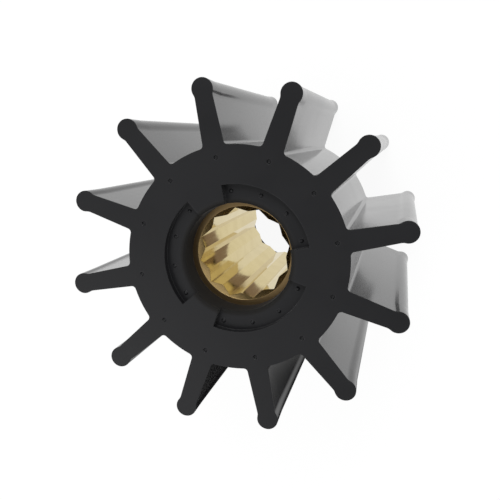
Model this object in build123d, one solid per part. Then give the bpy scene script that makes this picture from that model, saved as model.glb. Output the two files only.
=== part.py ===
from build123d import *
import math
import os

# Flexible rubber pump impeller, in millimetres.
# The bore axis is +Z. The origin is the centre of the rear end face, which the impeller stands on,
# and the face with the three arc pockets is up. The first vane points along +X.

# Whole impeller
tip_diameter = 95.0
width = 88.0
vane_count = 12

# Hub
hub_diameter = 60.0

# Vanes: a web that thins outwards and ends in a round bulb
web_root_thickness = 5.8
web_neck_thickness = 4.9
bulb_diameter = 5.7
root_fillet_radius = 1.1
neck_fillet_radius = 2.5

# Between the two ends the vane tips stand back a little, and they flare out to the end faces
tip_waist_depth = 0.4
tip_flare_length = 8.0

# The bore is two hexagons turned by half a flat: 12 points that take a hexagon or splined shaft.
# A 45 degree lead-in at both ends opens a little wider than the points.
bore_across_flats = 22.3
lead_in_margin = 0.28
lead_in_depth = 1.5

# Brass insert, set back from both end faces of the rubber. Its face shows this wide outside the
# bore's points, and the rubber laps over the rest of it.
insert_rim_width = 1.82
insert_lap = 0.5
insert_setback = 9.0

# 45 degree edge break of the rubber's mouth over each end of the insert
mouth_edge_break = 0.5

# Arc pockets in the front face, open to the mouth, each as wide as some of the vane pitches
pocket_count = 3
pocket_vane_pitches = 3
pocket_width = 5.1
pocket_depth = 2.0

# Small tapered pips on the pocket floors: how far they stand from the outer wall and the end walls
pips_per_pocket = 4
pip_wall_distance = 1.95
pip_end_angle = 6.0
pip_diameter = 1.2
pip_top_diameter = 0.6
pip_height = 0.4

# Small shallow dimples in the front face, one at the root of each vane, this far inside the hub's edge
dimple_distance = 3.0
dimple_diameter = 1.3
dimple_floor_diameter = 0.7
dimple_depth = 0.38

# The pips and the dimples are this many-sided in place of round
small_form_sides = 12

# How far cutting shapes run past the solid that they cut
overrun = 1.0

# Sizes worked out from those above
hub_radius = hub_diameter / 2
vane_pitch = 360.0 / vane_count
bore_point_radius = bore_across_flats / 2 / math.cos(math.radians(30))
mouth_radius = bore_point_radius + insert_rim_width
insert_radius = mouth_radius + insert_lap
insert_length = width - 2 * insert_setback
pocket_pitch = 360.0 / pocket_count
pocket_angle = pocket_vane_pitches * vane_pitch
pocket_radius = mouth_radius + pocket_width
pocket_floor = width - pocket_depth


def vane_profile(setback):
    """One vane along +X, from inside the hub, with its tip this far inside the tip circle."""
    bulb_radius = bulb_diameter / 2
    bulb_centre = tip_diameter / 2 - bulb_radius - setback
    neck = bulb_centre - bulb_radius
    slope = (web_root_thickness - web_neck_thickness) / 2 / (neck - hub_radius)
    start = hub_radius - root_fillet_radius
    start_half_thickness = web_root_thickness / 2 + slope * root_fillet_radius
    end_half_thickness = web_neck_thickness / 2 - slope * bulb_radius
    web = Polygon(
        (start, -start_half_thickness),
        (bulb_centre, -end_half_thickness),
        (bulb_centre, end_half_thickness),
        (start, start_half_thickness),
        align=None,
    )
    profile = web + Pos(bulb_centre, 0) * Circle(bulb_radius)
    necks = [
        corner for corner in profile.vertices()
        if neck < corner.X < bulb_centre
    ]
    return fillet(necks, neck_fillet_radius)


def body_outline(setback):
    """The hub and all vanes, with filleted roots."""
    outline = Circle(hub_radius) + PolarLocations(0, vane_count) * vane_profile(setback)
    rounding_error = 0.001
    roots = [
        corner for corner in outline.vertices()
        if abs(math.hypot(corner.X, corner.Y) - hub_radius) < rounding_error
    ]
    return fillet(roots, root_fillet_radius)


def body_blank():
    """The moulding before its bore and pockets, with the flared ends of the vane tips."""
    end = body_outline(0)
    waist = body_outline(tip_waist_depth)
    lower_flare = loft([end, Pos(0, 0, tip_flare_length) * waist], ruled=True)
    middle = extrude(Pos(0, 0, tip_flare_length) * waist, width - 2 * tip_flare_length)
    upper_flare = loft([Pos(0, 0, width - tip_flare_length) * waist, Pos(0, 0, width) * end], ruled=True)
    return lower_flare + middle + upper_flare


def turned(sweep, *points):
    """The solid that a section sweeps round the bore axis, by this angle from +X. The points are radii
    and heights."""
    return revolve(Plane.XZ * Polygon(*points, align=None), Axis.Z, sweep)


def rubber_bore():
    """The shape that cuts the seat of the insert and the mouths over its two ends."""
    opening_radius = mouth_radius + mouth_edge_break + overrun
    return turned(
        360,
        (0, -overrun),
        (opening_radius, -overrun),
        (mouth_radius, mouth_edge_break),
        (mouth_radius, insert_setback),
        (insert_radius, insert_setback),
        (insert_radius, width - insert_setback),
        (mouth_radius, width - insert_setback),
        (mouth_radius, width - mouth_edge_break),
        (opening_radius, width + overrun),
        (0, width + overrun),
    )


def arc_pocket():
    """One pocket in the front face, from 0 degrees round to the pocket angle."""
    return turned(
        pocket_angle,
        (0, pocket_floor - mouth_edge_break),
        (mouth_radius, pocket_floor - mouth_edge_break),
        (mouth_radius + mouth_edge_break, pocket_floor),
        (pocket_radius, pocket_floor),
        (pocket_radius, width + overrun),
        (0, width + overrun),
    )


def tapered(start_diameter, end_diameter, length):
    """A small tapered form that starts at the origin and runs up."""
    start = RegularPolygon(start_diameter / 2, small_form_sides)
    end = RegularPolygon(end_diameter / 2, small_form_sides)
    return loft([start, Pos(0, 0, length) * end], ruled=True)


def pips():
    """The pips of all pockets, spread evenly along each floor."""
    step = (pocket_angle - 2 * pip_end_angle) / (pips_per_pocket - 1)
    form = tapered(pip_diameter, pip_top_diameter, pip_height)
    pip = Pos(pocket_radius - pip_wall_distance, 0, pocket_floor) * form
    return [
        Rot(0, 0, pocket * pocket_pitch + pip_end_angle + place * step) * pip
        for pocket in range(pocket_count)
        for place in range(pips_per_pocket)
    ]


def dimples():
    """The dimples at the vane roots, as the shapes that cut them."""
    form = Rot(180, 0, 0) * tapered(dimple_diameter, dimple_floor_diameter, dimple_depth)
    dimple = Pos(hub_radius - dimple_distance, 0, width) * form
    return [Rot(0, 0, vane * vane_pitch) * dimple for vane in range(vane_count)]


def rubber_body():
    body = body_blank() - rubber_bore()
    for pocket in range(pocket_count):
        body -= Rot(0, 0, pocket * pocket_pitch) * arc_pocket()
    for dimple in dimples():
        body -= dimple
    for pip in pips():
        body += pip
    return body


def star_bore():
    """The shape that cuts the bore: two hexagons, one with its points on the vanes and one between."""
    hexagon = RegularPolygon(bore_point_radius, 6)
    section = hexagon + Rot(0, 0, 30) * hexagon
    return extrude(section, insert_length / 2 + overrun, both=True)


def lead_in():
    """The cone that opens the bore at the insert's upper end."""
    opening_radius = bore_point_radius + lead_in_margin
    cone = Cone(opening_radius - lead_in_depth, opening_radius, lead_in_depth)
    return Pos(0, 0, (insert_length - lead_in_depth) / 2) * cone


def brass_insert():
    insert = Cylinder(insert_radius, insert_length) - star_bore() - lead_in() - Rot(180, 0, 0) * lead_in()
    return Pos(0, 0, width / 2) * insert


nodes = {
    "rubber_body": rubber_body(),
    "brass_insert": brass_insert(),
}

os.makedirs("parts", exist_ok=True)
for name, solid in nodes.items():
    export_step(solid, f"parts/{name}.step")
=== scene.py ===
import math

import bpy
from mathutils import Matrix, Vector


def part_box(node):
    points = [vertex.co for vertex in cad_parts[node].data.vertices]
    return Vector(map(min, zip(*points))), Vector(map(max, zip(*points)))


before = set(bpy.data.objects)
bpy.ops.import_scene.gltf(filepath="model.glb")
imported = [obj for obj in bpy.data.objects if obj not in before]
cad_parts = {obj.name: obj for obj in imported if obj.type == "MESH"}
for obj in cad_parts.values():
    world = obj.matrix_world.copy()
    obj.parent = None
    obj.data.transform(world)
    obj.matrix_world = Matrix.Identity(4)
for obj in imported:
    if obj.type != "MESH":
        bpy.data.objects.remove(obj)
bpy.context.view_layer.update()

# Places worked out from the frame, in metres
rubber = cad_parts["rubber_body"]
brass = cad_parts["brass_insert"]
rear_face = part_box("rubber_body")[0].z
front_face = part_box("rubber_body")[1].z
insert_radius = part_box("brass_insert")[1].x

# Camera, at the photograph's viewpoint above the front face
camera_place = (0.0472, 0.0235, 0.2507)
camera_turn = (-10.04, 13.11, -11.22)
camera_lens = 46.87
sensor_width = 36.0
camera_clip_start = 0.01

# Levels of light, where 1 shows a white thing that faces it as full white
ambient_level = 0.36
overhead_level = 0.15
key_level = 0.22
fill_level = 0.1

# How white the floor and the horizon are in reflections
reflected_white = 0.93

# In reflections the horizon's white fades towards the overhead level between these heights, where 1
# is straight up
horizon_heights = (0.1, 1.1)

# Two square softboxes, above the object and on two sides of it
key_place = (0.15, 0.75, 0.85)
fill_place = (-0.55, -0.35, 0.8)
softbox_size = 0.5

# The floor, a little below the rear face. To the camera it glows white and takes a faint shadow.
floor_size = 6.0
floor_gap = 0.0002
floor_glow = 0.93
floor_camera_colour = 0.16
floor_colour = 0.85

# A painted shadow on the floor below the lowest vanes: a dark patch that only reflections show
painted_shadow_centre = (-0.012, -0.08)
painted_shadow_half_size = (0.05, 0.04)
painted_shadow_softness = 0.4

# The floor under the hub lies in warm shade beyond the bore, towards this side, as the bore's walls
# show it. Its edges are soft: the inner and the outer one over a share of their radius, and the one
# through the axis over a share of the inner radius.
shade_turn = 45
shade_inner_radius = 0.0092
shade_outer_radius = 0.0295
shade_inner_softness = 0.05
shade_outer_softness = 0.02
shade_side_softness = 0.4
shade_colour = (0.29, 0.225, 0.205, 1)

# The stretches of a noise's range over which colours and roughness change
colour_spread = (0.35, 0.65)
roughness_spread = (0.3, 0.7)

white = (1, 1, 1, 1)


def node(tree, kind, inputs=None, **settings):
    """Adds a shader node. Each input is a plain value or another node's output."""
    made = tree.nodes.new(kind)
    for name, value in settings.items():
        setattr(made, name, value)
    for name, value in (inputs or {}).items():
        if isinstance(value, bpy.types.NodeSocket):
            tree.links.new(value, made.inputs[name])
        else:
            made.inputs[name].default_value = value
    return made


def maths(tree, operation, first, second=0.0):
    """One step of arithmetic on one or two values."""
    return node(tree, "ShaderNodeMath", {0: first, 1: second}, operation=operation).outputs[0]


def vector_maths(tree, operation, first, second=(0, 0, 0)):
    """One step of arithmetic on one or two vectors. A length and a dot product are plain values."""
    made = node(tree, "ShaderNodeVectorMath", {0: first, 1: second}, operation=operation)
    result = "Value" if operation in ("LENGTH", "DOT_PRODUCT") else "Vector"
    return made.outputs[result]


def ramp(tree, value, low, high, out_low=0.0, out_high=1.0):
    """Carries a value from one range smoothly over to another."""
    made = node(
        tree, "ShaderNodeMapRange",
        {"Value": value, "From Min": low, "From Max": high, "To Min": out_low, "To Max": out_high},
        interpolation_type="SMOOTHSTEP",
    )
    return made.outputs["Result"]


def mix_value(tree, factor, first, second):
    """A value between two others."""
    return node(tree, "ShaderNodeMix", {0: factor, 2: first, 3: second}).outputs[0]


def mix_colour(tree, factor, first, second):
    """A colour between two others."""
    made = node(tree, "ShaderNodeMix", {0: factor, 6: first, 7: second}, data_type="RGBA")
    return made.outputs[2]


def noise(tree, vector, scale, detail=3.0):
    """A soft random value from 0 to 1. The scale is in patches per metre."""
    made = node(tree, "ShaderNodeTexNoise", {"Vector": vector, "Scale": scale, "Detail": detail})
    return made.outputs["Fac"]


def axis_distance(tree, place):
    """How far a place lies from the bore axis."""
    across = vector_maths(tree, "MULTIPLY", place, (1, 1, 0))
    return vector_maths(tree, "LENGTH", across)


def end_face_mask(tree, low, high):
    """1 where a surface faces along the bore axis and 0 where it faces across it. It changes between
    these two lengths of the normal's part along the axis."""
    normal = node(tree, "ShaderNodeNewGeometry").outputs["Normal"]
    normal_z = node(tree, "ShaderNodeSeparateXYZ", {0: normal}).outputs["Z"]
    return ramp(tree, maths(tree, "ABSOLUTE", normal_z), low, high)


def surface_normal(tree, edge_radius, relief, strength, depth):
    """The normal of a surface with slightly rounded edges and a fine relief."""
    edges = node(tree, "ShaderNodeBevel", {"Radius": edge_radius}, samples=6).outputs["Normal"]
    bump = node(
        tree, "ShaderNodeBump",
        {"Strength": strength, "Distance": depth, "Height": relief, "Normal": edges},
    )
    return bump.outputs["Normal"]


def by_ray(tree, lighting, mirrored, seen):
    """Joins three shaders: one lights other things, one shows in reflections and the camera sees one."""
    light_path = node(tree, "ShaderNodeLightPath")
    mirrored_ray = maths(
        tree, "MAXIMUM", light_path.outputs["Is Glossy Ray"], light_path.outputs["Is Transmission Ray"]
    )
    indirect = node(
        tree, "ShaderNodeMixShader",
        {0: mirrored_ray, 1: lighting.outputs[0], 2: mirrored.outputs[0]},
    )
    surface = node(
        tree, "ShaderNodeMixShader",
        {0: light_path.outputs["Is Camera Ray"], 1: indirect.outputs[0], 2: seen.outputs[0]},
    )
    return surface.outputs[0]


def new_material(name):
    """An empty node material, with its tree and its output node."""
    material = bpy.data.materials.new(name)
    material.use_nodes = True
    material.node_tree.nodes.clear()
    output = material.node_tree.nodes.new("ShaderNodeOutputMaterial")
    return material, material.node_tree, output


def rubber_material():
    """Moulded black rubber: satin end faces, smoother vane sides that shine at a shallow angle, and a matt
    mouth over the insert, tinted warm brown with a painted reflection of the brass. A faint bloom lies on
    all of it."""
    material, tree, output = new_material("moulded_rubber")
    place = node(tree, "ShaderNodeTexCoord").outputs["Object"]
    end_face = end_face_mask(tree, low=0.5, high=0.9)
    mouth_edge = 1.08 * insert_radius
    mouth = ramp(tree, axis_distance(tree, place), insert_radius, mouth_edge, out_low=1.0, out_high=0.0)

    clouds = noise(tree, place, scale=60.0)
    darker = (0.011, 0.0112, 0.0135, 1)
    lighter = (0.0125, 0.0127, 0.0152, 1)
    # The mouth's warm brown tint is a painted reflection of the brass insert
    mouth_colour_painted_reflection = (0.013, 0.012, 0.011, 1)
    colour = mix_colour(tree, ramp(tree, clouds, *colour_spread), darker, lighter)
    colour = mix_colour(tree, mouth, colour, mouth_colour_painted_reflection)

    side_roughness = ramp(tree, clouds, *roughness_spread, out_low=0.12, out_high=0.15)
    end_roughness = ramp(tree, clouds, *roughness_spread, out_low=0.44, out_high=0.5)
    mouth_roughness = 0.85
    roughness = mix_value(tree, end_face, side_roughness, end_roughness)
    roughness = mix_value(tree, mouth, roughness, mouth_roughness)

    grain = noise(tree, place, scale=2600.0)
    grain_strength = ramp(tree, end_face, 0.0, 1.0, out_low=0.01, out_high=0.2)
    normal = surface_normal(tree, edge_radius=0.0003, relief=grain, strength=grain_strength, depth=0.00005)
    shader = node(
        tree, "ShaderNodeBsdfPrincipled",
        {
            "Base Color": colour, "Roughness": roughness, "Normal": normal, "IOR": 1.5,
            "Sheen Weight": 0.15, "Sheen Roughness": 0.3,
        },
    )
    tree.links.new(shader.outputs[0], output.inputs["Surface"])
    return material


def brass_material():
    """Machined brass: a broached bore with fine lines along it, and a turned end whose browner colour is
    painted shade, the deep brown that brass shows in shadow.
    """
    material, tree, output = new_material("machined_brass")
    place = node(tree, "ShaderNodeTexCoord").outputs["Object"]
    end_face = end_face_mask(tree, low=0.3, high=0.9)

    clouds = noise(tree, place, scale=180.0)
    darker = (0.59, 0.46, 0.16, 1)
    lighter = (0.63, 0.5, 0.19, 1)
    # The end's browner colour is painted shade: the deeper tint that brass shows in shadow
    end_colour_painted_shade = (0.53, 0.36, 0.17, 1)
    colour = mix_colour(tree, ramp(tree, clouds, *colour_spread), darker, lighter)
    colour = mix_colour(tree, end_face, colour, end_colour_painted_shade)

    lengthened = (1.0, 1.0, 0.02)
    along_bore = node(tree, "ShaderNodeMapping", {"Vector": place, "Scale": lengthened}).outputs["Vector"]
    lines = noise(tree, along_bore, scale=2500.0)
    bore_roughness = ramp(tree, lines, *roughness_spread, out_low=0.05, out_high=0.09)
    end_roughness = 0.3
    roughness = mix_value(tree, end_face, bore_roughness, end_roughness)

    normal = surface_normal(tree, edge_radius=0.00012, relief=lines, strength=0.15, depth=0.00002)
    shader = node(
        tree, "ShaderNodeBsdfPrincipled",
        {"Base Color": colour, "Metallic": 1.0, "Roughness": roughness, "Normal": normal},
    )
    tree.links.new(shader.outputs[0], output.inputs["Surface"])
    return material


def painted_shadow_mask(tree):
    """1 on the painted shadow and 0 off it, with soft edges."""
    place = node(tree, "ShaderNodeNewGeometry").outputs["Position"]
    shift = vector_maths(tree, "SUBTRACT", place, (*painted_shadow_centre, 0))
    scaled = vector_maths(tree, "MULTIPLY", shift, (1 / painted_shadow_half_size[0], 1 / painted_shadow_half_size[1], 0))
    distance = vector_maths(tree, "LENGTH", scaled)
    return ramp(tree, distance, 1 - painted_shadow_softness, 1 + painted_shadow_softness, out_low=1.0, out_high=0.0)


def shade_mask(tree):
    """1 in the shade under the hub beyond the bore, and 0 on the rest of the floor."""
    place = node(tree, "ShaderNodeNewGeometry").outputs["Position"]
    radius = axis_distance(tree, place)
    turn = math.radians(shade_turn)
    beyond = vector_maths(tree, "DOT_PRODUCT", place, (math.cos(turn), math.sin(turn), 0))
    inner_full = (1 + shade_inner_softness) * shade_inner_radius
    outer_full = (1 - shade_outer_softness) * shade_outer_radius
    side_full = shade_side_softness * shade_inner_radius
    inner = ramp(tree, radius, shade_inner_radius, inner_full)
    outer = ramp(tree, radius, outer_full, shade_outer_radius, out_low=1.0, out_high=0.0)
    side = ramp(tree, beyond, 0.0, side_full)
    return maths(tree, "MULTIPLY", maths(tree, "MULTIPLY", inner, outer), side)


def floor_material():
    """White studio floor. Seen directly it is white with a faint shadow, in reflections it is white apart
    from the painted shadow below the lowest vanes and the painted shade under the hub, and it gives light
    back as paper does."""
    material, tree, output = new_material("studio_floor")
    paper = node(tree, "ShaderNodeBsdfDiffuse", {"Color": (floor_colour, floor_colour, floor_colour, 1)})
    # Reflections see the floor darker on the painted shadow below the lowest vanes
    painted_shadow_level = maths(tree, "SUBTRACT", 1.0, painted_shadow_mask(tree))
    reflected_level = maths(tree, "MULTIPLY", painted_shadow_level, reflected_white)
    reflected_colour = mix_colour(tree, shade_mask(tree), white, shade_colour)
    reflected = node(tree, "ShaderNodeEmission", {"Color": reflected_colour, "Strength": reflected_level})
    grey = (floor_camera_colour, floor_camera_colour, floor_camera_colour, 1)
    shadow = node(tree, "ShaderNodeBsdfDiffuse", {"Color": grey})
    glow = node(tree, "ShaderNodeEmission", {"Strength": floor_glow})
    seen = node(tree, "ShaderNodeAddShader", {0: shadow.outputs[0], 1: glow.outputs[0]})
    tree.links.new(by_ray(tree, paper, reflected, seen), output.inputs["Surface"])
    return material


def make_floor():
    """A large flat floor under the rear face."""
    bpy.ops.mesh.primitive_plane_add(size=floor_size, location=(0, 0, rear_face - floor_gap))
    floor = bpy.context.object
    floor.name = "studio_floor"
    floor.data.materials.append(floor_material())


def make_world():
    """White to the camera, near white round the horizon in reflections, and a plain level of light."""
    world = bpy.data.worlds.new("studio")
    bpy.context.scene.world = world
    world.use_nodes = True
    tree = world.node_tree
    tree.nodes.clear()
    direction = node(tree, "ShaderNodeTexCoord").outputs["Generated"]
    height = node(tree, "ShaderNodeSeparateXYZ", {0: direction}).outputs["Z"]
    reflected_level = ramp(tree, height, *horizon_heights, reflected_white, overhead_level)
    ambient = node(tree, "ShaderNodeBackground", {"Color": white, "Strength": ambient_level})
    reflected = node(tree, "ShaderNodeBackground", {"Color": white, "Strength": reflected_level})
    seen = node(tree, "ShaderNodeBackground", {"Color": white, "Strength": 1.0})
    output = node(tree, "ShaderNodeOutputWorld")
    tree.links.new(by_ray(tree, ambient, reflected, seen), output.inputs["Surface"])


def make_softbox(name, place, level):
    """A softbox that points at the object. The level is what it gives a white thing there."""
    target = Vector((0, 0, (rear_face + front_face) / 2))
    to_target = target - Vector(place)
    lamp = bpy.data.lights.new(name, "AREA")
    lamp.size = softbox_size
    lamp.energy = level * math.pi**2 * to_target.length_squared
    softbox = bpy.data.objects.new(name, lamp)
    softbox.location = place
    softbox.rotation_euler = to_target.to_track_quat("-Z", "Y").to_euler()
    bpy.context.scene.collection.objects.link(softbox)


def make_camera():
    """The camera, at the photograph's place and angle."""
    data = bpy.data.cameras.new("photo_camera")
    data.sensor_width = sensor_width
    data.lens = camera_lens
    data.clip_start = camera_clip_start
    camera = bpy.data.objects.new("photo_camera", data)
    camera.location = camera_place
    camera.rotation_euler = [math.radians(angle) for angle in camera_turn]
    bpy.context.scene.collection.objects.link(camera)
    bpy.context.scene.camera = camera


def dress(piece, material):
    """Gives a CAD piece its finished material."""
    piece.data.materials.clear()
    piece.data.materials.append(material)


make_camera()
make_world()
make_floor()
make_softbox("key_softbox", key_place, key_level)
make_softbox("fill_softbox", fill_place, fill_level)
dress(rubber, rubber_material())
dress(brass, brass_material())

bpy.context.scene.view_settings.view_transform = "Standard"
